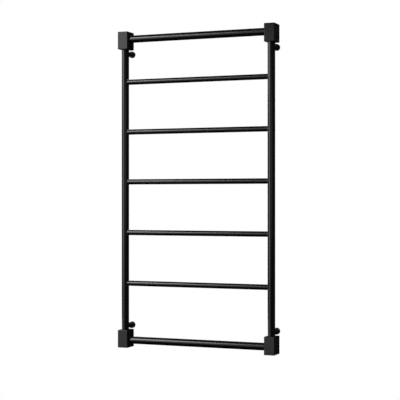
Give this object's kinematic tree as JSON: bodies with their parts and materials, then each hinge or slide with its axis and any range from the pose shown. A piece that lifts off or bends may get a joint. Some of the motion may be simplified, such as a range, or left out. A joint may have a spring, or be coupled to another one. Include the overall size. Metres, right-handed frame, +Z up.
{
  "type": "towel warmer rack",
  "caption": "Wall-mounted ladder towel warmer: slim rungs between round uprights, square corner blocks and telescopic round standoffs.",
  "frame": {"origin": "centre of the rectangle of the four wall fixings, on the wall's surface", "axes": "+X to the right as seen from the room, +Y into the wall, +Z up along the uprights"},
  "size_m": [0.5, 0.0705, 0.955],
  "materials": {
    "powder_coat": "satin black powder coat, fine texture",
    "blackened_steel": "blackened",
    "bright_steel": "zinc plated",
    "brass": "turned",
    "gasket_rubber": "matte",
    "cable_jacket": "silicone jacket",
    "black_nylon": "moulded",
    "white_nylon": "moulded",
    "heat_shrink": "satin",
    "wire_insulation": "PVC-like insulation",
    "earth_insulation": "PVC-like insulation"
  },
  "bodies": {
    "wall_mount": {"post_top_left": "bright_steel", "post_top_right": "bright_steel", "post_bottom_left": "bright_steel", "post_bottom_right": "bright_steel", "rosette_top_left": "powder_coat", "rosette_top_right": "powder_coat", "rosette_bottom_left": "powder_coat", "rosette_bottom_right": "powder_coat"},
    "rack": {"left_upright": "powder_coat", "right_upright": "powder_coat", "top_bar": "powder_coat", "bottom_bar": "powder_coat", "rung_1": "powder_coat", "rung_2": "powder_coat", "rung_3": "powder_coat", "rung_4": "powder_coat", "rung_5": "powder_coat", "corner_top_left": "powder_coat", "corner_top_right": "powder_coat", "corner_bottom_left": "powder_coat", "corner_bottom_right": "powder_coat", "cover_top_left": "powder_coat", "cover_top_right": "powder_coat", "cover_bottom_left": "powder_coat", "cover_bottom_right": "powder_coat", "gasket_top_left": "gasket_rubber", "gasket_top_right": "gasket_rubber", "gasket_bottom_left": "gasket_rubber", "gasket_bottom_right": "gasket_rubber", "cover_screws": "blackened_steel", "corner_grub_screws": "blackened_steel", "arm_top_left": "powder_coat", "arm_top_right": "powder_coat", "arm_bottom_left": "powder_coat", "arm_bottom_right": "powder_coat", "arm_grub_screws": "blackened_steel", "heating_cable": "cable_jacket", "cable_grommets": "gasket_rubber", "lead_grommet": "gasket_rubber", "end_seal": "cable_jacket", "thermal_cutout": "white_nylon", "splice_sleeve": "heat_shrink", "lead_wires": "wire_insulation", "terminal_body": "white_nylon", "terminal_sleeves": "brass", "terminal_screws": "bright_steel", "terminal_fixing_screws": "bright_steel", "earth_tag": "brass", "earth_screw": "bright_steel", "earth_link": "earth_insulation", "gland_body": "black_nylon", "gland_washer": "gasket_rubber", "gland_locknut": "black_nylon", "gland_seal": "gasket_rubber", "gland_cap": "black_nylon"}
  },
  "joints": [
    {"name": "standoff_slide", "type": "slide", "parent": "wall_mount", "child": "rack", "axis": [0, -1, 0], "range_m": [-0.003, 0.003]}
  ]
}
